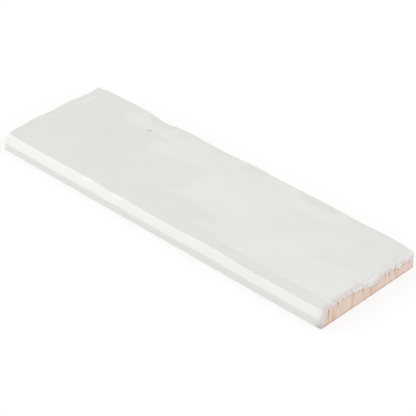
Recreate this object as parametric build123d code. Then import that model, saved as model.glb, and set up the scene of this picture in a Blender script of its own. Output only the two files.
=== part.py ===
"""Bullnose trim tile: one fired, glazed ceramic piece, lying on its back.

The frame is in millimetres, +Z up. X runs along the tile, the rounded nose is on the -Y side,
and the origin is the centre of the flat back.
"""

import os
from math import ceil, cos, pi, radians, sin

from build123d import *

# Overall size of the tile
LENGTH = 203.0
WIDTH = 63.0
THICKNESS = 9.0

# Bullnose: an arc that bends down from the face until it leans so far, and a small arc, the arris,
# that turns from there into the upright nose side
NOSE_RADIUS = 8.8
NOSE_LEAN = 64.0

# Rolled edges of the face and corners, and the eased edge round the back
EDGE_ROUND = 1.5
BACK_EASE = 0.4

# The arris is a little rounder than the rolled edge, so that the roll can follow it
ARRIS_SPARE = 0.1
ARRIS_RADIUS = EDGE_ROUND + ARRIS_SPARE

# Hand-worked swell of the face: two slanting waves that cross each other
SWELL_HEIGHT = 0.18
SWELL_LENGTH = 76.0
SWELL_SLANT = 0.45
RIPPLE_HEIGHT = 0.10
RIPPLE_LENGTH = 41.0
RIPPLE_SLANT = -0.80

# Sections and face points to each ripple, and how far the wavy block passes the trimmed tile
STEPS_PER_RIPPLE = 4
TRIM = 10.0

NOSE_Y = -WIDTH / 2
REAR_Y = WIDTH / 2
LEAN_SINE = sin(radians(NOSE_LEAN))
LEAN_COSINE = cos(radians(NOSE_LEAN))
NOSE_RUN = NOSE_RADIUS * LEAN_SINE + ARRIS_RADIUS * (1 - LEAN_SINE)
NOSE_RISE = NOSE_RADIUS * (1 - LEAN_COSINE) + ARRIS_RADIUS * LEAN_COSINE
FACE_START_Y = NOSE_Y + NOSE_RUN


def wave(x, y, height, length, slant):
    """A sine wave along X whose crests lean by the slant."""
    return height * sin(2 * pi * (x + slant * y) / length)


def face_height(x, y):
    """Height of the glazed face above the back."""
    swell = wave(x, y, SWELL_HEIGHT, SWELL_LENGTH, SWELL_SLANT)
    ripple = wave(x, y, RIPPLE_HEIGHT, RIPPLE_LENGTH, RIPPLE_SLANT)
    return THICKNESS + swell + ripple


def spread(start, end):
    """Evenly spaced places from start to end, close enough together to carry the ripple."""
    steps = ceil((end - start) * STEPS_PER_RIPPLE / RIPPLE_LENGTH)
    return [start + (end - start) * i / steps for i in range(steps + 1)]


def section(x):
    """Outline of the block across the tile: nose side, bullnose, wavy face, and plain sides to trim."""
    past_rear = REAR_Y + TRIM
    face = [(y, face_height(x, y)) for y in spread(FACE_START_Y, past_rear)]
    face_start = face[0][1]
    side_top = face_start - NOSE_RISE
    outline = Wire(
        [
            Line((NOSE_Y, -TRIM), (NOSE_Y, side_top)),
            CenterArc((NOSE_Y + ARRIS_RADIUS, side_top), ARRIS_RADIUS, 180, NOSE_LEAN - 90),
            CenterArc((FACE_START_Y, face_start - NOSE_RADIUS), NOSE_RADIUS, 90 + NOSE_LEAN, -NOSE_LEAN),
            Spline(*face, tangents=[(1, 0), (1, 0)]),
            Line(face[-1], (past_rear, -TRIM)),
            Line((past_rear, -TRIM), (NOSE_Y, -TRIM)),
        ]
    )
    return Plane.YZ.offset(x) * outline


def wavy_block():
    """The nose and the wavy face carried along the tile, longer, deeper and wider than the tile."""
    half = LENGTH / 2 + TRIM
    return Solid.make_loft([section(x) for x in spread(-half, half)])


def trimmed_block():
    """The wavy block cut to a flat back, two flat ends and a flat rear edge."""
    depth = WIDTH + TRIM
    height = THICKNESS + TRIM
    cut = Pos(0, REAR_Y - depth / 2, height / 2) * Box(LENGTH, depth, height)
    return wavy_block() & cut


def is_rolled(edge):
    """True for the edges of the two ends, apart from the back, and for the top edge of the rear."""
    middle = edge.center()
    on_end = abs(middle.X) > LENGTH / 2 - BACK_EASE
    on_rear = middle.Y > REAR_Y - BACK_EASE
    return middle.Z > BACK_EASE and (on_end or on_rear)


def trim_tile():
    """The whole tile, with its edges rolled and its back eased."""
    block = trimmed_block()
    rolled = fillet([edge for edge in block.edges() if is_rolled(edge)], EDGE_ROUND)
    back = rolled.faces().sort_by(Axis.Z)[0]
    return chamfer(back.edges(), BACK_EASE)


os.makedirs("parts", exist_ok=True)
tile = trim_tile()
export_step(tile, "parts/trim_tile.step")
print("trim_tile", tile.bounding_box().size, "volume", round(tile.volume), "valid", tile.is_valid)
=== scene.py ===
# %% [markdown]
# A trim tile, made from a packed frame.
# The object is a long ceramic wall tile with one rounded long edge, a bullnose, under a gloss white
# glaze. It lies on its back, as it would rest on a floor. The pressed clay body, the bisque, is bare on
# the back and on part of the edges, where the glaze stopped running. This script loads the frame, which
# holds the plain tile at its real size, and works out one finished surface that stands for it. Blender
# counts in metres. The shapes are worked out in millimetres and changed over when the mesh is made.

import bmesh
import bpy
import numpy as np
from mathutils import Matrix, Vector


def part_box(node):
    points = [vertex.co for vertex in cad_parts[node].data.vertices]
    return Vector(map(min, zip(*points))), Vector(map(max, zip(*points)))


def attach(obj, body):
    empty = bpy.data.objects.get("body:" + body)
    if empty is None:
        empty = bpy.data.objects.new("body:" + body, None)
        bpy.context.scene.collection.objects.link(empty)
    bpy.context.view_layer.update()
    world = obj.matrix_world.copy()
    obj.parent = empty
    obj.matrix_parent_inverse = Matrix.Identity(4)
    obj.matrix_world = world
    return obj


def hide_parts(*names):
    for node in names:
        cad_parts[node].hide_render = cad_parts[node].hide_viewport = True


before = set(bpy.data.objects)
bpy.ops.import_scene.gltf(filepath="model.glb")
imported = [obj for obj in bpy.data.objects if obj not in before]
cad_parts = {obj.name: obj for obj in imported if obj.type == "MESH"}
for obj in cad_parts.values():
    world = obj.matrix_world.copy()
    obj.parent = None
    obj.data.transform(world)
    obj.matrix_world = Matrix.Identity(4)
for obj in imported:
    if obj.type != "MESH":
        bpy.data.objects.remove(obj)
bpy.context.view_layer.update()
MM = 0.001
tile_low, tile_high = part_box("trim_tile")
LENGTH = (tile_high[0] - tile_low[0]) / MM
WIDTH = (tile_high[1] - tile_low[1]) / MM
END_X = LENGTH / 2
SIDE_Y = WIDTH / 2
print(f"tile of the frame: {LENGTH:.1f} mm long, {WIDTH:.1f} mm wide, {tile_high[2] / MM:.2f} mm high")

# %% [markdown]
# The camera stands to the right of the nose and looks down on the tile through a long lens, so the
# edges run almost parallel. An angle round the tile, an angle above the floor, a distance and the point
# that it aims at say where it is, which is easier to think about than a position and three turns.

# %% Camera
# Angles in degrees, lengths in millimetres
CAMERA_AROUND = 43.92
CAMERA_ABOVE = 34.65
CAMERA_DISTANCE = 885.0
CAMERA_FOCAL = 166.05
SENSOR_WIDTH = 36.0
FARTHEST_SEEN = 50000.0
AIM_RIGHT = 3.45
AIM_UP = -1.28


def camera_axes(around, above):
    """Right, up and backward directions of a level camera, from its two angles in degrees."""
    side, rise = np.radians([around, above])
    to_right = np.array([np.cos(side), np.sin(side), 0.0])
    to_back = np.array([np.sin(side) * np.cos(rise), -np.cos(side) * np.cos(rise), np.sin(rise)])
    return to_right, np.cross(to_back, to_right), to_back


right, up, backward = camera_axes(CAMERA_AROUND, CAMERA_ABOVE)
eye = AIM_RIGHT * right + AIM_UP * up + CAMERA_DISTANCE * backward
camera = bpy.data.objects.new("camera", bpy.data.cameras.new("camera"))
camera.data.lens = CAMERA_FOCAL
camera.data.sensor_width = SENSOR_WIDTH
camera.data.clip_end = FARTHEST_SEEN * MM
camera_turn = Matrix([right, up, backward]).transposed().to_4x4()
camera.matrix_world = Matrix.Translation(Vector(eye * MM)) @ camera_turn
bpy.context.scene.collection.objects.link(camera)
bpy.context.scene.camera = camera
print("camera at", np.round(eye), "mm")

# %% [markdown]
# Seen from an end, the tile has a level face, a bullnose and an upright nose side. The bullnose is an
# arc that bends down from the face until it leans by 64 degrees, and a small arc, the arris, that turns
# from there into the side. A bevel could round the edge of a box, but only to one radius, so the two
# arcs are worked out here. Their run across and their rise follow from the two radii.

# %% Sizes of the section
FACE = 9.0
NOSE_RADIUS = 8.8
NOSE_LEAN = np.radians(64.0)
ARRIS_RADIUS = 0.9
NOSE_RUN = ARRIS_RADIUS * (1 - np.sin(NOSE_LEAN)) + NOSE_RADIUS * np.sin(NOSE_LEAN)
NOSE_RISE = ARRIS_RADIUS * np.cos(NOSE_LEAN) + NOSE_RADIUS * (1 - np.cos(NOSE_LEAN))
NOSE_SIDE = FACE - NOSE_RISE
print(f"bullnose: {NOSE_RUN:.2f} mm across and {NOSE_RISE:.2f} mm high, on a side of {NOSE_SIDE:.2f} mm")

# %% [markdown]
# The glazed face is not flat: the clay was worked by hand, so low waves cross it. They could be a
# displacement texture, but a formula in the mesh keeps them in the exported shape, where they bend the
# reflections. A swell and a ripple cross the whole face, as in the frame's own solid, where the ripple
# is a little higher. Short waves that run every way are added here.

# %% Waves of the face
# Height, length and slant of the two long waves
SWELL = (0.18, 76.0, 0.45)
RIPPLE = (0.06, 41.0, -0.80)
SMALL_WAVES = 14
SHORTEST_WAVE = 8.0
LONGEST_WAVE = 45.0
STEEPNESS = 0.0003
WAVE_SEED = 12


def wave(x, y, height, length, slant):
    """Sine wave along X whose crests lean by the slant."""
    return height * np.sin(2 * np.pi * ((x + slant * y) / length))


def small_waves(x, y):
    """Sum of low sine waves that run every way and are equally steep, from a fixed seed."""
    draw = np.random.default_rng(WAVE_SEED)
    least = (0.0, SHORTEST_WAVE, 0.0)
    most = (np.pi, LONGEST_WAVE, 1.0)
    total = 0.0
    for turn_round, length, start in draw.uniform(least, most, (SMALL_WAVES, 3)):
        along = x * np.cos(turn_round) + y * np.sin(turn_round)
        total = total + STEEPNESS * length * np.sin(2 * np.pi * (along / length + start))
    return total


middle_line = np.linspace(-END_X, END_X)
print("small waves along the middle reach", np.abs(small_waves(middle_line, 0.0)).max().round(3), "mm")

# %% [markdown]
# The hand also left troughs and ridges in the face, dents along the bullnose, and edges that rise and
# dip, with a pinch in the rear edge. Sculpting could make them, but it leaves nothing to read or change
# afterwards. Here each trough is a smooth hump with a place, a size and a depth, and each edge follows a
# line through a few given points, which fades out towards the middle of the face.

# %% Hollows and edges of the face
# Centre, half length, half width, lean and depth of each trough; a ridge has a negative depth
HOLLOWS = [(54, 20, 13, 3.5, 0.06, 0.16), (79, 23, 12, 4, 0.0, 0.12), (79, -2.5, 9, 3, 0.25, -0.11),
           (-7, 24.5, 11, 3.5, -0.15, 0.12), (-25, 13, 11, 10, 0.0, -0.18), (-58, 20, 7, 7, 0.0, -0.08),
           (-40, 19.5, 11, 1.2, 0.05, -0.03), (10, -11.5, 14, 4.5, 0.0, -0.12),
           (16, -21.5, 12, 2.5, 0.05, -0.07)]
# How far two edges of the face lie below its level: places along the edge and drops
REAR_DROP = [(-101, -0.5), (-86, 0.02), (-70, -0.1), (-64, -0.05), (-57, 1.1), (-51, 1.4), (-44, 0.2),
             (-36, -0.33), (-26, -0.08), (-16, 0.42), (-4, 0.15), (7, -0.38), (22, -0.07), (42, -0.5),
             (54, -0.48), (72, 0.28), (84, 0.1), (101, 0.3)]
REAR_DROP_REACH = 4.0
LEFT_DROP = [(-32, 0.3), (-25, 0.0), (-19, -0.3), (-14, -0.8), (-9, -0.65), (-3, 0.0), (7, -0.25),
             (13, -0.43), (17, 0.4), (22, 0.85), (32, 0.6)]
LEFT_DROP_REACH = 6.0
# Dents along the bullnose, which make steps in the edge of its highlight
NOSE_DROP = [(-101, 0.0), (-88, 0.25), (-80, -0.05), (-70, -0.1), (-58, 0.15), (-48, 0.5), (-44, -0.1),
             (-36, 0.1), (-28.5, 0.6), (-24.5, -0.15), (-12, 0.0), (4, 0.15), (18, 0.3), (30, -0.1),
             (48, -0.1), (62, 0.2), (72, 0.0), (86, 0.15), (101, 0.0)]
NOSE_DROP_AT = -29.5
NOSE_DROP_REACH = 4.0
PINCH_X = -53.0


def hump(place, centre, reach):
    """Smooth hump: 1 at its centre, about a third at one reach away."""
    return np.exp(-(((place - centre) / reach) ** 2))


def flowing_line(points, place):
    """Smooth line through a few given points: cubic between each two, slopes from the neighbours."""
    at, value = np.array(points, float).T
    slope = np.gradient(value, at)
    before = np.clip(np.searchsorted(at, place) - 1, 0, len(at) - 2)
    after = before + 1
    span = at[after] - at[before]
    share = np.clip((place - at[before]) / span, 0.0, 1.0)
    rest = 1 - share
    start_part = value[before] * (1 + 2 * share) * rest**2 + slope[before] * span * share * rest**2
    end_part = value[after] * share**2 * (3 - 2 * share) + slope[after] * span * share**2 * (share - 1)
    return start_part + end_part


def face_height(x, y):
    """Level of the face plus its waves, less the hollows, the dents and the drops at two edges."""
    level = FACE + wave(x, y, *SWELL) + wave(x, y, *RIPPLE) + small_waves(x, y)
    for centre_x, centre_y, half_length, half_width, lean, depth in HOLLOWS:
        trough = hump(x, centre_x, half_length) * hump(y - lean * (x - centre_x), centre_y, half_width)
        level = level - depth * trough
    rear = flowing_line(REAR_DROP, x) * hump(y, SIDE_Y, REAR_DROP_REACH)
    left = flowing_line(LEFT_DROP, y) * hump(x, -END_X, LEFT_DROP_REACH)
    nose = flowing_line(NOSE_DROP, x) * hump(y, NOSE_DROP_AT, NOSE_DROP_REACH)
    return level - rear - left - nose


print("pinch in the rear edge lies at", face_height(PINCH_X, SIDE_Y).round(2), "mm")

# %% [markdown]
# The section is laid out as an upper and a lower half with equally many places, so that each end can be
# closed with rungs from one half to the other. The upper half goes from the nose side up over the
# bullnose, along the face and down the rear. It is a place across and a rise, from 0 at the split
# between the halves to 1 at the face, because the face's height differs along the tile.

# %% Upper half of the section
ARRIS_STEPS = 6
ARC_STEPS = 24
FACE_STEPS = 140
ROLL_STEPS = 8
SIDE_STEPS = 8
HALF_STEPS = ARRIS_STEPS + ARC_STEPS + FACE_STEPS + ROLL_STEPS + SIDE_STEPS


def shares(steps, last=False):
    """Even shares from 0 towards 1, with or without the last one."""
    return np.linspace(0.0, 1.0, steps + 1)[: steps + last]


def bullnose():
    """Two arcs in turn, from upright to level: how far across and how high, as shares of the rise."""
    arris = np.pi / 2 - (np.pi / 2 - NOSE_LEAN) * shares(ARRIS_STEPS)
    arc = NOSE_LEAN * (1 - shares(ARC_STEPS))
    across = [ARRIS_RADIUS * (1 - np.sin(arris)), NOSE_RUN - NOSE_RADIUS * np.sin(arc)]
    height = [ARRIS_RADIUS * np.cos(arris), NOSE_RISE - NOSE_RADIUS * (1 - np.cos(arc))]
    return np.concatenate(across), np.concatenate(height) / NOSE_RISE


def upper_half(rear_roll):
    """Places across and rises: the bullnose, level face, quarter circle of the roll, plain side."""
    same = np.zeros_like(rear_roll)
    nose_across, nose_share = bullnose()
    roll_angle = shares(ROLL_STEPS) * np.pi / 2
    down = shares(SIDE_STEPS, last=True)
    nose_end = NOSE_RUN - SIDE_Y
    rear_start = SIDE_Y - rear_roll
    roll_share = rear_roll / (FACE - NOSE_SIDE)
    across = [
        same - SIDE_Y + nose_across,
        nose_end + (rear_start - nose_end) * shares(FACE_STEPS),
        rear_start + rear_roll * np.sin(roll_angle),
        same + SIDE_Y + 0 * down,
    ]
    rise = [
        same + nose_share,
        same + np.ones(FACE_STEPS),
        1 - roll_share * (1 - np.cos(roll_angle)),
        (1 - roll_share) * (1 - down),
    ]
    return np.concatenate(across, axis=1), np.concatenate(rise, axis=1)


print("steps in the upper half:", HALF_STEPS)

# %% [markdown]
# The lower half goes from the nose side down to the floor, along the flat back and up the rear. A tile
# is pressed in a die, and its back has a small eased edge all round, so that it does not chip. The back
# takes up whatever steps are left, which keeps the two halves equal.

# %% Lower half of the section
LOWER_SIDE_STEPS = 12
EASE_STEPS = 3
BACK_EASE = 0.4


def lower_half():
    """Places across and heights: nose side down, eased edge, flat back, eased edge, rear side up."""
    back_steps = HALF_STEPS - 2 * (LOWER_SIDE_STEPS + EASE_STEPS)
    side_height = NOSE_SIDE - (NOSE_SIDE - BACK_EASE) * shares(LOWER_SIDE_STEPS)
    ease_angle = shares(EASE_STEPS) * np.pi / 2
    inner = SIDE_Y - BACK_EASE
    half_across = np.concatenate([0 * side_height - SIDE_Y, -inner - BACK_EASE * np.cos(ease_angle)])
    half_height = np.concatenate([side_height, BACK_EASE * (1 - np.sin(ease_angle))])
    back = inner * (2 * shares(back_steps, last=True) - 1)
    across = np.concatenate([half_across, back, -half_across[::-1]])
    height = np.concatenate([half_height, 0 * back, half_height[::-1]])
    return across, height


print("steps round the section:", 2 * HALF_STEPS)

# %% [markdown]
# At each end the section rolls over: it goes forward by the sine of an angle and shrinks inward by one
# minus its cosine, so the edge is a quarter round. The roll's radius differs along both ends, because
# the glaze has a lumpy crest there, and it is smallest at the back.

# %% Rolls at the ends
# Room that a roll takes along the tile, and its radius where the halves of the section meet
ROLL_ROOM = 3.4
SIDE_ROLL = 0.6
# Radius of the roll along each end: places across the tile and radii
RIGHT_ROLL = [(-32, 1.6), (-28, 1.8), (-24, 1.6), (-20, 1.6), (-15, 2.5), (-8, 2.4), (-2, 3.0), (3, 1.1),
              (11, 1.3), (18, 1.9), (24, 1.4), (32, 1.4)]
LEFT_ROLL = [(-32, 1.2), (-28, 1.5), (-22, 2.1), (-10, 2.4), (0, 2.0), (12, 2.5), (22, 1.9), (32, 2.0)]


def roll_radii(line, across, height):
    """Roll radius round the section: the line's along the face, the eased edge's along the back."""
    low_share = np.clip(height / NOSE_SIDE, 0.0, 1.0)
    upper = np.clip((height - NOSE_SIDE) / (FACE - NOSE_SIDE), 0.0, 1.0)
    side = SIDE_ROLL + (flowing_line(line, across) - SIDE_ROLL) * upper
    return BACK_EASE + (side - BACK_EASE) * low_share


def roll_over(share, radius):
    """Straight run up to the roll, then a quarter circle: how far forward, how far in, which angle."""
    run = ROLL_ROOM - radius
    path = share * (run + radius * np.pi / 2)
    angle = np.clip((path - run) / radius, 0.0, np.pi / 2)
    forward = np.minimum(path, run) + radius * np.sin(angle)
    return forward, radius * (1 - np.cos(angle)), angle


print("rolls have radii up to", max(radius for place, radius in RIGHT_ROLL + LEFT_ROLL), "mm")

# %% [markdown]
# Seen from above, the four upright corners are round as well, a little more at the rear than at the
# nose. A bevel wants one clean edge to work on, and this grid has many rows of points there, so the
# points near a corner are drawn in from a square onto an arc.

# %% Round the four upright corners
# Room for the lumps of the glaze at both ends, and the radii of the corners
LUMP_ROOM = 0.3
NOSE_CORNER = 1.2
REAR_CORNER = 1.8
# Keeps a division away from zero
TINY = 1e-9


def round_corners(points):
    """Squares round a corner become arcs: scaled by the longer of their two sides over the diagonal."""
    x, y = points[..., 0], points[..., 1]
    radius = np.where(y < 0, NOSE_CORNER, REAR_CORNER)
    centre_x = END_X - LUMP_ROOM - radius
    centre_y = SIDE_Y - radius
    from_x = np.maximum(np.abs(x) - centre_x, 0.0)
    from_y = np.maximum(np.abs(y) - centre_y, 0.0)
    at_corner = (from_x > 0) & (from_y > 0)
    diagonal = np.maximum(np.hypot(from_x, from_y), TINY)
    scale = np.where(at_corner, np.maximum(from_x, from_y) / diagonal, 1.0)
    rounded = points.copy()
    rounded[..., 0] = np.where(at_corner, np.sign(x) * (centre_x + scale * from_x), x)
    rounded[..., 1] = np.where(at_corner, np.sign(y) * (centre_y + scale * from_y), y)
    return rounded


sharp_corner = np.array([[END_X - LUMP_ROOM, SIDE_Y, 0.0]])
print("a rear corner is drawn in to", round_corners(sharp_corner)[0, :2].round(2), "mm")

# %% [markdown]
# Now the section is carried along the tile, from the left end to the right end. A curve with a bevel
# object could sweep a profile too, but not one that changes on its way. Here each station is a row of
# one big grid. The rear edge is rounder near the ends, and the first and last rows are the rolls. Every
# point also gets its outward direction, along which the relief will lift it.

# %% Carry the section along the tile
BODY_STEPS = 150
END_STEPS = 18
REAR_ROLL = 1.2
REAR_ROLL_AT_ENDS = 2.6
REAR_ROLL_REACH = 6.0


def section_places(station):
    """Places across, rises and foot heights at each station: upper half, then the lower run backward."""
    near_end = hump(station, -END_X, REAR_ROLL_REACH) + hump(station, END_X, REAR_ROLL_REACH)
    rear_roll = (REAR_ROLL + (REAR_ROLL_AT_ENDS - REAR_ROLL) * near_end)[:, None]
    upper_across, upper_rise = upper_half(rear_roll)
    low_across, low_height = lower_half()
    stations = len(station)
    backward_run = slice(-2, 0, -1)
    across = np.concatenate([upper_across, np.tile(low_across[backward_run], (stations, 1))], axis=1)
    rise = np.concatenate([upper_rise, np.zeros((stations, HALF_STEPS - 1))], axis=1)
    foot = np.concatenate([np.full(HALF_STEPS + 1, NOSE_SIDE), low_height[backward_run]])
    return across, rise, foot


def rolled_ends(across, plain_height):
    """How far forward, how far in and which angle at each point: zero, apart from the rolls' rows."""
    share = shares(END_STEPS, last=True)[1:, None]
    left_end = roll_over(share, roll_radii(LEFT_ROLL, across[0], plain_height))
    right_end = roll_over(share, roll_radii(RIGHT_ROLL, across[-1], plain_height))
    rolled = []
    for at_left, at_right, left_sign in zip(left_end, right_end, (-1, 1, -1)):
        whole = np.zeros_like(across)
        whole[:END_STEPS] = left_sign * at_left[::-1]
        whole[-END_STEPS:] = at_right
        rolled.append(whole)
    return rolled


def section_outward(across, height):
    """Outward direction in the section: a quarter turn from the line between a point's neighbours."""
    d_across = np.roll(across, -1, axis=1) - np.roll(across, 1, axis=1)
    d_height = np.roll(height, -1, axis=1) - np.roll(height, 1, axis=1)
    size = np.hypot(d_across, d_height)
    return -d_height / size, d_across / size


def tile_body():
    """Points of the sweep, station by station round the section, and the outward direction of each."""
    straight_end = END_X - LUMP_ROOM - ROLL_ROOM
    main = straight_end * (2 * shares(BODY_STEPS, last=True) - 1)
    station = np.concatenate([np.full(END_STEPS, -straight_end), main, np.full(END_STEPS, straight_end)])
    across, rise, foot = section_places(station)
    forward, inset, angle = rolled_ends(across, foot + (FACE - NOSE_SIDE) * rise[0])
    x = station[:, None] + forward
    height = foot + (face_height(x, across) - NOSE_SIDE) * rise
    out_y, out_z = section_outward(across, height)
    points = np.stack([x, across - inset * out_y, height - inset * out_z], axis=-1)
    outward = np.stack([np.sin(angle), np.cos(angle) * out_y, np.cos(angle) * out_z], axis=-1)
    return round_corners(points), outward


body_points, body_outward = tile_body()
print("body grid", body_points.shape, "lowest", body_points.min((0, 1)).round(2), "highest",
      body_points.max((0, 1)).round(2))

# %% [markdown]
# The sweep leaves a hole at each end. One big face could fill it, but it would have no points inside for
# the lip and the slots to move. So the upper half of the last row is joined to the lower half by rungs,
# each with many points, and that gives a grid of its own.

# %% Close the ends with rungs
RUNGS = 36


def end_cap(loop, outward):
    """Rungs from the upper half of the last loop to the lower half: a straight blend of the two."""
    upper = loop[: HALF_STEPS + 1]
    lower = loop[-np.arange(HALF_STEPS + 1)]
    blend = shares(RUNGS, last=True)[:, None, None]
    points = upper + (lower - upper) * blend
    return points, np.broadcast_to(outward, points.shape)


left_points, left_outward = end_cap(body_points[0], np.array([-1.0, 0.0, 0.0]))
right_points, right_outward = end_cap(body_points[-1], np.array([1.0, 0.0, 0.0]))
print("end grids", left_points.shape, right_points.shape)

# %% [markdown]
# The glaze is a coat of glass about a third of a millimetre thick. It wraps the nose down to the floor,
# but on the two ends and the rear it ran only part of the way down and stopped in a ragged line. The
# bare clay below has upright slots, left by the die, and the glaze stops a little higher over each. The
# line could be painted on a texture, but as a formula it can shape the mesh and colour it too.

# %% Line where the glaze stops
# Height of the line along each side: places along the side and heights
RIGHT_LINE = [(-32, 0.9), (-29.6, 0.7), (-28.4, 4.0), (-27.7, 6.6), (-26, 7.6), (-22, 8.3), (-16, 8.8),
              (-10, 8.1), (-6, 7.3), (-1, 5.2), (4.5, 4.3), (9, 6.3), (16, 6.1), (23, 5.2), (29, 4.3),
              (32, 4.0)]
LEFT_LINE = [(-32, -1.0), (-30, -0.6), (-27, 1.6), (-20, 4.5), (-12, 4.4), (-3, 5.2), (6, 4.6), (14, 5.3),
             (24, 4.4), (32, 4.0)]
REAR_LINE = [(-102, 4.5), (-84, 6.2), (-62, 4.8), (-40, 6.6), (-18, 5.6), (4, 6.8), (30, 5.2), (52, 6.5),
             (78, 5.0), (102, 4.0)]
# Height, length and start of the short waves that make the line ragged
RAGGED_WAVES = [(0.5, 3.7, 0.0), (0.3, 1.93, 1.1), (0.2, 1.13, 2.3)]
RAGGED_HEIGHT = 0.3
RISE_OVER_SLOT = 0.7
# Slots in the bare clay: place along the side, half width and depth; the row repeats along the rear
SLOTS = [(-26.4, 0.45, 1.0), (-20.5, 0.45, 1.0), (-16.8, 0.35, 0.7), (-12.9, 0.3, 0.5), (-10.3, 0.35, 0.7),
         (-4.2, 0.45, 1.0), (1.4, 0.35, 0.8), (4.2, 0.3, 0.5), (7.5, 0.3, 0.8), (11.0, 0.4, 0.9),
         (13.6, 0.45, 1.0), (17.4, 0.4, 1.0), (20.2, 0.35, 0.9), (23.0, 0.35, 0.8), (25.2, 0.3, 0.7),
         (27.6, 0.3, 0.8)]
SLOT_ROW = 57.0


def ragged(place):
    """Sum of three short sine waves whose lengths have no common measure, within 1 either way."""
    turns = 2 * np.pi * place
    return sum(height * np.sin(turns / length + start) for height, length, start in RAGGED_WAVES)


def slots(place):
    """Narrow upright slots, from 0 to 1: the greatest of the humps at the listed places."""
    wrapped = (place + SLOT_ROW / 2) % SLOT_ROW - SLOT_ROW / 2
    return np.maximum.reduce([depth * hump(wrapped, at, half) for at, half, depth in SLOTS])


def glaze_line(line, along):
    """Height of the glaze's edge along a side: the given line, roughened, pushed up over each slot."""
    return flowing_line(line, along) + RAGGED_HEIGHT * ragged(along) + RISE_OVER_SLOT * slots(along)


print("glaze line at the middle of the right end:", glaze_line(RIGHT_LINE, 0.0).round(2), "mm up")

# %% [markdown]
# From that line comes a distance to the glaze's edge for every point: above zero on the glaze, below
# zero on the bare clay. It lifts the lip in the mesh, and paints glaze or bisque in the material. Along
# the foot of the nose the glaze ends just above the floor, but it doesn't run thin there, so a second
# distance leaves that edge out.

# %% Distance to the edge of the glaze
BACK_LINE = 0.03
FAR = 6.0
LINE_SAMPLES = 600


def above_line(line, along, height, inside):
    """Signed distance to a side's glaze line, on the side's plane carried on over the edge of the face."""
    carried = height + inside
    near = inside < FAR
    distance = np.full(along.shape, FAR)
    samples = np.linspace(line[0][0], line[-1][0], LINE_SAMPLES)
    gap_along = along[near][:, None] - samples
    gap_up = carried[near][:, None] - glaze_line(line, samples)
    gap = np.hypot(gap_along, gap_up).min(axis=1)
    distance[near] = np.where(carried[near] > glaze_line(line, along[near]), gap, -gap)
    return distance


def glaze_distance(points):
    """Distance inside the glaze's edge, the least of all sides, with and without its edge at the back."""
    x, y, z = points[..., 0], points[..., 1], points[..., 2]
    inside_end = END_X - LUMP_ROOM - np.abs(x)
    right_side = above_line(RIGHT_LINE, y, z, np.where(x > 0, inside_end, END_X))
    left_side = above_line(LEFT_LINE, y, z, np.where(x < 0, inside_end, END_X))
    rear_side = above_line(REAR_LINE, x, z, SIDE_Y - y)
    run_out = np.minimum.reduce([right_side, left_side, rear_side])
    return np.minimum(run_out, z - BACK_LINE), run_out


end_top = np.array([[END_X - LUMP_ROOM, 0.0, FACE]])
print("top of the right end lies", glaze_distance(end_top)[0].round(2), "mm inside the glaze's edge")

# %% [markdown]
# As the glaze boiled in the kiln it left bubbles on the crest of the ends. A bump texture would only
# shade them, and the outline would stay smooth, so each bubble is a dome in the mesh. Their places are
# drawn at random over the rolls from a fixed seed. How bubbly each stretch is comes from a line of
# given points.

# %% Bubbles on the lip
# How bubbly the lip is along each end, from 0 to 1
RIGHT_BUBBLES = [(-32, 0.1), (-27, 0.1), (-23, 0.3), (-20.5, 0.8), (-17.5, 0.5), (-14, 0.15), (-11, 0.3),
                 (-7, 1.0), (-4, 1.0), (-1, 0.6), (3, 0.3), (7, 0.3), (11, 0.5), (14, 1.0), (18, 1.0),
                 (22, 0.8), (26, 0.4), (29, 0.05), (32, 0.0)]
LEFT_BUBBLES = [(-32, 0.1), (-14, 0.2), (-4, 0.4), (6, 0.15), (32, 0.2)]
RIGHT_SEED = 5
LEFT_SEED = 6
BUBBLE_COUNT = 150
BUBBLE_STEEPNESS = 0.85
BUBBLE_SPREAD = (-30.0, 31.0)
BUBBLE_RADII = (0.45, 1.2)
# How far the bubbles lie below the face, and how far inward and down they follow the roll
BUBBLE_SINK = 0.4
BUBBLE_INWARD = 2.2
BUBBLE_DOWN = 2.4


def draw_bubbles(line, seed):
    """Random places over the roll of an end, as x inward of the end, y and z, with a radius and a height."""
    draw = np.random.default_rng(seed)
    y = draw.uniform(*BUBBLE_SPREAD, BUBBLE_COUNT)
    over = draw.uniform(0, np.pi / 2, BUBBLE_COUNT)
    radius = draw.uniform(*BUBBLE_RADII, BUBBLE_COUNT)
    inward = LUMP_ROOM + BUBBLE_INWARD * (1 - np.sin(over))
    z = FACE - BUBBLE_SINK - BUBBLE_DOWN * (1 - np.cos(over))
    height = BUBBLE_STEEPNESS * radius * flowing_line(line, y)
    return np.stack([inward, y, z, radius, height], axis=1)


# The key is the sign of X at that end
bubble_sets = {1: draw_bubbles(RIGHT_BUBBLES, RIGHT_SEED), -1: draw_bubbles(LEFT_BUBBLES, LEFT_SEED)}


def domes(points):
    """Height of the bubbly skin: at each point the tallest of the bubbles' domes, in millimetres."""
    x, y, z = points[..., 0], points[..., 1], points[..., 2]
    height = np.zeros_like(x)
    for sign, bubbles in bubble_sets.items():
        inward = END_X - sign * x
        for bubble_x, bubble_y, bubble_z, radius, top in bubbles:
            away = (inward - bubble_x) ** 2 + (y - bubble_y) ** 2 + (z - bubble_z) ** 2
            height = np.maximum(height, top * (1 - away / radius**2))
    return height


print("tallest bubble", bubble_sets[1][:, -1].max().round(2), "mm")

# %% [markdown]
# Now the relief goes onto the grids. The bare clay is set in by the thickness of the coat, in a rounded
# lip, and the slots are cut into it. They fade downwards. The bubbles stand on the coat. Each point
# moves along its outward direction, as the Displace modifier would move it, but here the same numbers
# are kept as attributes for the material.

# %% Raise the lip and slot the bare clay
GLAZE_COAT = 0.35
LIP_WIDTH = 0.6
SLOT_DEPTH = 0.25
SLOT_REACH = 3.0
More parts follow.
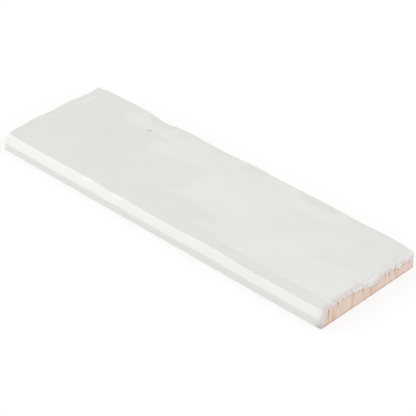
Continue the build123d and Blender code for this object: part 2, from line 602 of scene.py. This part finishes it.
# The glaze is thinnest up to this far inside its edge, and full one reach further on
THIN_FROM = 0.6
THIN_REACH = 3.4
# How fast a bubble's height makes thin glaze thick again, and the most that it does
# Between the bubbles the pink of thin glaze stays, and there it is partly painted shade
BUBBLE_THICKENS = 3.0
BUBBLE_THICKEST = 0.8
# A point belongs to an end where its outward direction leans this much along the tile
END_LEAN = 0.5


def clay_slots(points, outward, distance):
    """Slots along the side that a point is on, fading with the distance below the glaze's edge."""
    along = np.where(np.abs(outward[..., 0]) > END_LEAN, points[..., 1], points[..., 0])
    return slots(along) * np.exp(np.minimum(distance, 0.0) / SLOT_REACH)


def relief(outward, distance, slot, dome):
    """Set-in of the bare clay below the coat, slots in it and bubbles on the lip, in millimetres."""
    on_side = 1 - np.clip(-outward[..., 2], 0.0, 1.0)
    coat = np.sqrt(1 - (1 - np.clip(distance / LIP_WIDTH, 0.0, 1.0)) ** 2)
    set_in = (1 - coat) * on_side * (GLAZE_COAT + SLOT_DEPTH * slot)
    return dome * coat * on_side - set_in


def finished(points, outward):
    """Points moved out by the relief, and their attributes: edge distance, thin glaze with painted groove
    shade, clay slots.
    """
    distance, run_out = glaze_distance(points)
    dome = domes(points)
    slot = clay_slots(points, outward, distance)
    thin = 1 - np.clip((run_out - THIN_FROM) / THIN_REACH, 0.0, 1.0)
    # The pink fades on the bubbles and stays in the grooves between them, partly as painted shade
    thin = thin * (1 - np.clip(BUBBLE_THICKENS * dome, 0.0, BUBBLE_THICKEST))
    moved = points + outward * relief(outward, distance, slot, dome)[..., None]
    return moved, {"glaze_edge": distance, "glaze_thin": thin, "clay_slot": slot}


# Each grid: its finished points, their attributes, whether it is a closed loop, whether its faces flip
grids = [
    (*finished(body_points, body_outward), True, False),
    (*finished(left_points, left_outward), False, True),
    (*finished(right_points, right_outward), False, False),
]
print("right end bulges to", grids[2][0][..., 0].max().round(2), "mm")

# %% [markdown]
# The three grids share their border points exactly, so they go into one mesh and the doubled points are
# merged. The rungs meet in a point at the nose and at the rear, where the merge leaves triangles. The
# result is one closed surface, as a fired tile is one piece.

# %% Make the mesh
MERGE_DISTANCE = 0.002


def grid_faces(rows, columns, first, closed):
    """Corner numbers of the quads of a grid; a closed grid joins its last column to its first."""
    wide = columns if closed else columns - 1
    row, column = np.meshgrid(np.arange(rows - 1), np.arange(wide), indexing="ij")
    after = (column + 1) % columns
    this_row = row * columns
    next_row = this_row + columns
    corners = np.stack([this_row + column, this_row + after, next_row + after, next_row + column], axis=-1)
    return first + corners.reshape(-1, 4)


def close_mesh(mesh):
    """Merge the doubled points, turn the faces outward, and print what is open and what it holds."""
    shape = bmesh.new()
    shape.from_mesh(mesh)
    bmesh.ops.remove_doubles(shape, verts=shape.verts, dist=MERGE_DISTANCE * MM)
    bmesh.ops.recalc_face_normals(shape, faces=shape.faces)
    open_edges = sum(1 for edge in shape.edges if len(edge.link_faces) != 2)
    print("open edges", open_edges, "volume", round(shape.calc_volume(signed=True) / MM**3), "mm3")
    shape.to_mesh(mesh)
    shape.free()


def build_tile():
    """One smooth, closed mesh from the three grids, with what the material needs as point attributes."""
    faces = []
    count = 0
    for points, _, closed, flipped in grids:
        corners = grid_faces(*points.shape[:2], count, closed)
        faces.append(corners[:, ::-1] if flipped else corners)
        count += points.size // 3
    places = np.concatenate([points.reshape(-1, 3) * MM for points, *_ in grids])
    mesh = bpy.data.meshes.new("glazed_trim_tile")
    mesh.from_pydata(places, [], np.concatenate(faces).tolist())
    for name in grids[0][1]:
        attribute = mesh.attributes.new(name, "FLOAT", "POINT")
        whole = np.concatenate([values[name].ravel() for _, values, *_ in grids])
        attribute.data.foreach_set("value", whole.astype(np.float32))
    close_mesh(mesh)
    mesh.polygons.foreach_set("use_smooth", np.ones(len(mesh.polygons), bool))
    mesh.update()
    return bpy.data.objects.new("glazed_trim_tile", mesh)


tile = build_tile()
bpy.context.scene.collection.objects.link(tile)
tile.data.calc_loop_triangles()
print("tile:", len(tile.data.vertices), "points,", len(tile.data.loop_triangles), "triangles")

# %% [markdown]
# Materials are node trees, and long chains of Math nodes are hard to read. A small class wraps one
# output socket, so that a sum or a product in Python adds the Math node for it, and one method adds any
# other node from its type, its settings and its inputs.

# %% Shader maths
class Shade:
    """One output socket of a node tree; arithmetic on it adds Math nodes."""

    def __init__(self, tree, socket=None):
        self.tree = tree
        self.socket = socket

    def add(self, kind, settings=None, inputs=None, output=0):
        """Add a node, set its settings, then fill or link its inputs, and wrap one of its outputs."""
        node = self.tree.nodes.new(kind)
        for name, value in (settings or {}).items():
            setattr(node, name, value)
        for name, value in (inputs or {}).items():
            if isinstance(value, Shade):
                self.tree.links.new(value.socket, node.inputs[name])
            else:
                node.inputs[name].default_value = value
        return Shade(self.tree, node.outputs[output] if len(node.outputs) else None)

    def math(self, operation, first, second):
        """Math node on two values, either of which may be a socket or a number."""
        return self.add("ShaderNodeMath", {"operation": operation}, {0: first, 1: second})

    def __add__(self, other):
        return self.math("ADD", self, other)

    def __sub__(self, other):
        return self.math("SUBTRACT", self, other)

    def __rsub__(self, other):
        return self.math("SUBTRACT", other, self)

    def __mul__(self, other):
        return self.math("MULTIPLY", self, other)

    __radd__ = __add__
    __rmul__ = __mul__

    def step(self, low, high):
        """Smooth step: 0 below low, 1 above high."""
        return self.add("ShaderNodeMapRange", {"interpolation_type": "SMOOTHSTEP"},
                        {"Value": self, "From Min": low, "From Max": high})

    def attribute(self, name):
        """The piece's own attribute of this name."""
        return self.add("ShaderNodeAttribute", {"attribute_name": name}, None, "Fac")

    def part(self, axis):
        """One coordinate of this vector."""
        return self.add("ShaderNodeSeparateXYZ", None, {0: self}, axis)

    def noise(self, scale, detail=2.0, stretch=(1.0, 1.0, 1.0)):
        """Noise at this many features a metre, with the coordinates stretched first."""
        place = self.add("ShaderNodeVectorMath", {"operation": "MULTIPLY"}, {0: self, 1: stretch})
        return self.add("ShaderNodeTexNoise", None, {"Vector": place, "Scale": scale, "Detail": detail})

    def away(self, point):
        """Distance in millimetres from a point in millimetres."""
        place = tuple(MM * value for value in point)
        metres = self.add("ShaderNodeVectorMath", {"operation": "DISTANCE"}, {0: self, 1: place}, "Value")
        return metres * (1 / MM)

    def mix(self, first, second):
        """Blend of two colours, with this socket as the share of the second."""
        return self.add("ShaderNodeMix", {"data_type": "RGBA"}, {0: self, 6: first, 7: second}, 2)


def colour(red, green, blue):
    """Opaque colour, as a node's socket takes it."""
    return (red, green, blue, 1.0)


print("Shade can", ", ".join(name for name in vars(Shade) if not name.startswith("_")))

# %% [markdown]
# The glaze is a white that is a little warm and faintly mottled. Where it runs out over the clay it is
# thinner and pinker; between the bubbles of the lip that pink is partly painted shade. A few specks are
# fired into it, and a darker patch sits at the foot of the near right corner. A painted image could hold
# all this, but it has seams and one fixed sharpness. So noise makes the mottle, an attribute of the mesh
# says where the glaze is thin and where the grooves are shaded, and the distance from a point makes each
# speck and the patch.

# %% Colour of the glaze
WHITE_GLAZE = colour(0.768, 0.773, 0.738)
WARM_GLAZE = colour(0.762, 0.756, 0.722)
THIN_GLAZE = colour(0.63, 0.54, 0.515)
MOTTLE_SCALE = 40.0
MOTTLE_DETAIL = 3.0
MOTTLE_BLEND = (0.35, 0.7)
SPECK = colour(0.45, 0.42, 0.37)
# Place, radius and strength of each speck; the last is a darker patch at the foot of the near right corner
SPECKS = [(-52.7, 18.5, 9.0, 0.45, 0.45), (-52.0, 19.0, 9.0, 0.4, 0.6), (-36.4, -20.4, 9.0, 0.2, 0.2),
          (100.6, -31.2, 0.8, 1.7, 0.5)]
SPECK_SCALE = 2000.0
SPECK_BLUR = 0.7
NOISE_MEAN = 0.5


def glaze_colour(place, thin):
    """Two whites blended by noise, then the pink of thin glaze and painted groove shade, then a soft uneven
    dot for each speck.
    """
    mottle = place.noise(MOTTLE_SCALE, MOTTLE_DETAIL).step(*MOTTLE_BLEND)
    tint = thin.mix(mottle.mix(WHITE_GLAZE, WARM_GLAZE), THIN_GLAZE)
    for x, y, z, radius, strength in SPECKS:
        away = place.away((x, y, z)) + place.noise(SPECK_SCALE) - NOISE_MEAN
        dot = 1 - away.step(radius, radius + SPECK_BLUR)
        tint = (strength * dot).mix(tint, SPECK)
    return tint


print("specks in the glaze:", len(SPECKS))

# %% [markdown]
# The bisque is a matt peach clay. It is grainy, has paler and darker streaks down the ends, and pales
# towards the rear, while brown is painted in its slots and along its foot as shade. Each of these is a
# layer over the last one: a share, a mask that says where it is, and a colour. Stretching the noise
# upwards turns blots into streaks.

# %% Colour of the bare clay
BISQUE = colour(0.72, 0.55, 0.44)
PALE_BISQUE = colour(0.78, 0.64, 0.55)
REAR_BISQUE = colour(0.82, 0.68, 0.61)
DARK_BISQUE = colour(0.58, 0.42, 0.31)
# Brown for painted shade: in the slot recesses and along the foot, where the tile meets the floor
PAINTED_SHADE_BROWN = colour(0.42, 0.27, 0.18)
# Between which values each mask goes from 0 to 1, and the share of its layer
PALE_STREAK = (0.35, 0.65)
DARK_STREAK = (0.28, 0.42)
DARK_SHARE = 0.5
SLOT_SHADE_BLEND = (0.1, 0.7)
SLOT_SHADE_SHARE = 0.9
GRAIN_BLEND = (0.5, 0.8)
GRAIN_SHARE = 0.35
# The same in millimetres: across the tile towards the rear, and up from the floor along the foot
REAR_FADE = (-5.0, 25.0)
REAR_SHARE = 0.45
FOOT_START = (0.0, 0.3)
FOOT_END = (0.4, 1.1)
FOOT_SHADE_SHARE = 0.45


def clay_colour(place, grain, streak):
    """Peach with paler streaks, then a blend for each layer: its share of its mask, and its colour."""
    height_up = place.part("Z") * (1 / MM)
    foot = height_up.step(*FOOT_START) * (1 - height_up.step(*FOOT_END))
    layers = [
        (REAR_SHARE, (place.part("Y") * (1 / MM)).step(*REAR_FADE), REAR_BISQUE),
        (DARK_SHARE, 1 - streak.step(*DARK_STREAK), DARK_BISQUE),
        # Painted shade in the slots
        (SLOT_SHADE_SHARE, place.attribute("clay_slot").step(*SLOT_SHADE_BLEND), PAINTED_SHADE_BROWN),
        (GRAIN_SHARE, grain.step(*GRAIN_BLEND), DARK_BISQUE),
        # Painted shade along the foot, where the tile meets the floor
        (FOOT_SHADE_SHARE, foot, PAINTED_SHADE_BROWN),
    ]
    tint = streak.step(*PALE_STREAK).mix(BISQUE, PALE_BISQUE)
    for share, mask, layer_colour in layers:
        tint = (share * mask).mix(tint, layer_colour)
    return tint


print("clay from", DARK_BISQUE[:3], "to", PALE_BISQUE[:3])

# %% [markdown]
# One material holds both sides of the finish. The distance to the glaze's edge picks between them,
# roughened by noise so that the border is not ruled. The glaze is glossy and almost smooth, and the clay
# is matt and rough to the touch. On the nose and the lip the glaze is thicker, and a second gloss layer,
# the coat, makes its reflections stronger there.

# %% Glaze and bisque in one material
EDGE_SCALE = 1500.0
EDGE_WANDER = 0.3
EDGE_BLUR = 0.07
GRAIN_SCALE = 2600.0
GRAIN_DETAIL = 3.0
STREAK_SCALE = 420.0
STREAK_STRETCH = (1.0, 1.0, 0.12)
STREAK_HEIGHT = 0.8
PEEL_SCALE = 260.0
PEEL_DETAIL = 1.0
PEEL_HEIGHT = 0.06
BUMP_HEIGHT = 0.12
GLAZE_ROUGHNESS = 0.06
CLAY_ROUGHNESS = 0.85
GLAZE_IOR = 1.5
COAT_IOR = 1.6
# Across the tile, where the thicker glaze of the nose begins to thin and where it has thinned
COAT_FADE = (-26.5, -22.5)


def fired_tile():
    """Principled shader: colour, roughness, coat and bump chosen by the distance to the glaze's edge."""
    material = bpy.data.materials.new("fired_tile")
    material.use_nodes = True
    material.node_tree.nodes.clear()
    start = Shade(material.node_tree)
    place = start.add("ShaderNodeTexCoord", None, None, "Object")
    edge = start.attribute("glaze_edge") + EDGE_WANDER * place.noise(EDGE_SCALE) - EDGE_WANDER / 2
    glaze = edge.step(-EDGE_BLUR, EDGE_BLUR)
    # Thin glaze, with painted shade in the grooves between the bubbles of the lip
    thin = start.attribute("glaze_thin")

    grain = place.noise(GRAIN_SCALE, GRAIN_DETAIL)
    streak = place.noise(STREAK_SCALE, stretch=STREAK_STRETCH)
    peel = place.noise(PEEL_SCALE, PEEL_DETAIL)
    height = glaze * peel * PEEL_HEIGHT + (1 - glaze) * (grain + STREAK_HEIGHT * streak)
    bump = start.add("ShaderNodeBump", None,
                     {"Strength": 1.0, "Distance": BUMP_HEIGHT * MM, "Height": height})
    past_nose = (place.part("Y") * (1 / MM)).step(*COAT_FADE)
    surface = start.add("ShaderNodeBsdfPrincipled", None, {
        "Base Color": glaze.mix(clay_colour(place, grain, streak), glaze_colour(place, thin)),
        "Roughness": GLAZE_ROUGHNESS + (CLAY_ROUGHNESS - GLAZE_ROUGHNESS) * (1 - glaze),
        "IOR": GLAZE_IOR,
        "Normal": bump,
        "Coat Weight": glaze * (1 - past_nose * (1 - thin)),
        "Coat IOR": COAT_IOR,
    })
    start.add("ShaderNodeOutputMaterial", None, {"Surface": surface})
    return material


tile.data.materials.append(fired_tile())
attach(tile, "root")
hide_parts("trim_tile")
print("material nodes:", len(tile.data.materials[0].node_tree.nodes))

# %% [markdown]
# The studio is a white sweep under soft light. The world gives even light from all round. To the eye
# and in reflections it is plain white, while the light that it casts is weaker, so that the pale tile
# stands out. The floor works the same way: where it is looked at, a part of it glows, which makes it
# white and leaves a faint shadow. More light on the floor would burn out the tile as well.

# %% Floor and world
FLOOR_BRIGHTNESS = 0.95
FLOOR_DIFFUSE = 0.36
FLOOR_LIFT = 0.66
# Half the side of the floor in metres, and its drop below the tile in millimetres
FLOOR_HALF = 4.0
FLOOR_DROP = 0.05
SKY_LIGHT = 0.675
WHITE = colour(1.0, 1.0, 1.0)


def seen_rays(start):
    """1 for rays from the camera, from a mirror and through glass, and 0 for the light that is cast."""
    camera_ray = start.add("ShaderNodeLightPath", None, None, "Is Camera Ray")
    glossy_ray = start.add("ShaderNodeLightPath", None, None, "Is Glossy Ray")
    clear_ray = start.add("ShaderNodeLightPath", None, None, "Is Transmission Ray")
    any_of_them = camera_ray + glossy_ray + clear_ray
    return any_of_them.math("MINIMUM", any_of_them, 1.0)


def white_floor():
    """Diffuse floor, of which a part glows instead where it is looked at, so that its shadow is paler."""
    material = bpy.data.materials.new("white_sweep")
    material.use_nodes = True
    material.node_tree.nodes.clear()
    start = Shade(material.node_tree)
    seen = seen_rays(start)
    pale = FLOOR_BRIGHTNESS - (FLOOR_BRIGHTNESS - FLOOR_DIFFUSE) * seen
    diffuse = start.add("ShaderNodeBsdfDiffuse", None, {"Color": pale})
    glow = start.add("ShaderNodeEmission", None, {"Strength": FLOOR_LIFT * seen})
    both = start.add("ShaderNodeAddShader", None, {0: diffuse, 1: glow})
    start.add("ShaderNodeOutputMaterial", None, {"Surface": both})
    return material


def build_floor():
    """Flat square just under the tile."""
    half = FLOOR_HALF
    low = -FLOOR_DROP * MM
    corners = [(-half, -half, low), (half, -half, low), (half, half, low), (-half, half, low)]
    mesh = bpy.data.meshes.new("floor")
    mesh.from_pydata(corners, [], [(0, 1, 2, 3)])
    mesh.materials.append(white_floor())
    return bpy.data.objects.new("floor", mesh)


def white_world():
    """Background that is white where it is looked at and casts weaker light."""
    world = bpy.data.worlds.new("studio")
    world.use_nodes = True
    world.node_tree.nodes.clear()
    sky = Shade(world.node_tree)
    strength = SKY_LIGHT + (1.0 - SKY_LIGHT) * seen_rays(sky)
    background = sky.add("ShaderNodeBackground", None, {"Color": WHITE, "Strength": strength})
    sky.add("ShaderNodeOutputWorld", None, {"Surface": background})
    return world


floor = build_floor()
bpy.context.scene.collection.objects.link(floor)
bpy.context.scene.world = white_world()
print("floor", 2 * FLOOR_HALF, "m wide, world light", SKY_LIGHT)

# %% [markdown]
# A gloss glaze mirrors what stands round it, so the lamps are placed for their mirror images. A wide
# softbox in front of the nose, to the left, lies along the bullnose as one long highlight. Two narrow
# ones behind the tile, to the left, show the waves of the face: each fades from one side to the other,
# so its image has one clear edge and one soft one. The fourth fills the bare end, and the fifth, behind
# the tile to the right, picks out the bubbles of the lip.

# %% Softboxes
# Distance of every lamp from the origin, in metres
LAMP_DISTANCE = 1.6


def softbox(name, toward, long_axis, width, height, radiance, far_side=1.0, far_end=1.0):
    """Area lamp that faces the tile: power is radiance x area x pi; it fades to a far side and far end."""
    lamp = bpy.data.lights.new(name, "AREA")
    lamp.shape = "RECTANGLE"
    lamp.size = width
    lamp.size_y = height
    lamp.energy = radiance * width * height * np.pi
    lamp.use_nodes = True
    lamp.node_tree.nodes.clear()
    start = Shade(lamp.node_tree)
    spot = start.add("ShaderNodeNewGeometry", None, None, "Parametric")
    strength = (1.0 + (far_side - 1.0) * spot.part("X")) * (1.0 + (far_end - 1.0) * spot.part("Y"))
    glow = start.add("ShaderNodeEmission", None, {"Strength": strength})
    start.add("ShaderNodeOutputLight", None, {"Surface": glow})
    z_axis = Vector(toward).normalized()
    x_axis = Vector(long_axis).cross(z_axis).normalized()
    turn = Matrix([x_axis, z_axis.cross(x_axis), z_axis]).transposed().to_4x4()
    box = bpy.data.objects.new(name, lamp)
    box.matrix_world = Matrix.Translation(z_axis * LAMP_DISTANCE) @ turn
    bpy.context.scene.collection.objects.link(box)


softbox("nose_softbox", toward=(-0.63, -0.60, 0.46), long_axis=(0, 0.7, 0.7),
        width=1.5, height=1.4, radiance=1.45, far_side=0.55, far_end=1.35)
softbox("face_softbox", toward=(-0.544, 0.648, 0.536), long_axis=(-0.735, -0.058, -0.677),
        width=0.25, height=0.9, radiance=0.62, far_side=0.15)
softbox("sheen_softbox", toward=(-0.565, 0.573, 0.585), long_axis=(-0.82, -0.41, -0.395),
        width=0.25, height=1.0, radiance=0.4, far_side=0.0)
softbox("end_softbox", toward=(0.9, -0.1, 0.42), long_axis=(0, 0, 1),
        width=1.2, height=1.0, radiance=1.02)
softbox("lip_softbox", toward=(0.60, 0.57, 0.57), long_axis=(-0.4, -0.4, 0.8),
        width=0.85, height=1.2, radiance=1.45)

# %% [markdown]
# Last comes the view transform: Standard shows a colour about as it is written, while a filmic one would
# grey the white glaze.

# %% Finish
bpy.context.scene.view_settings.view_transform = "Standard"
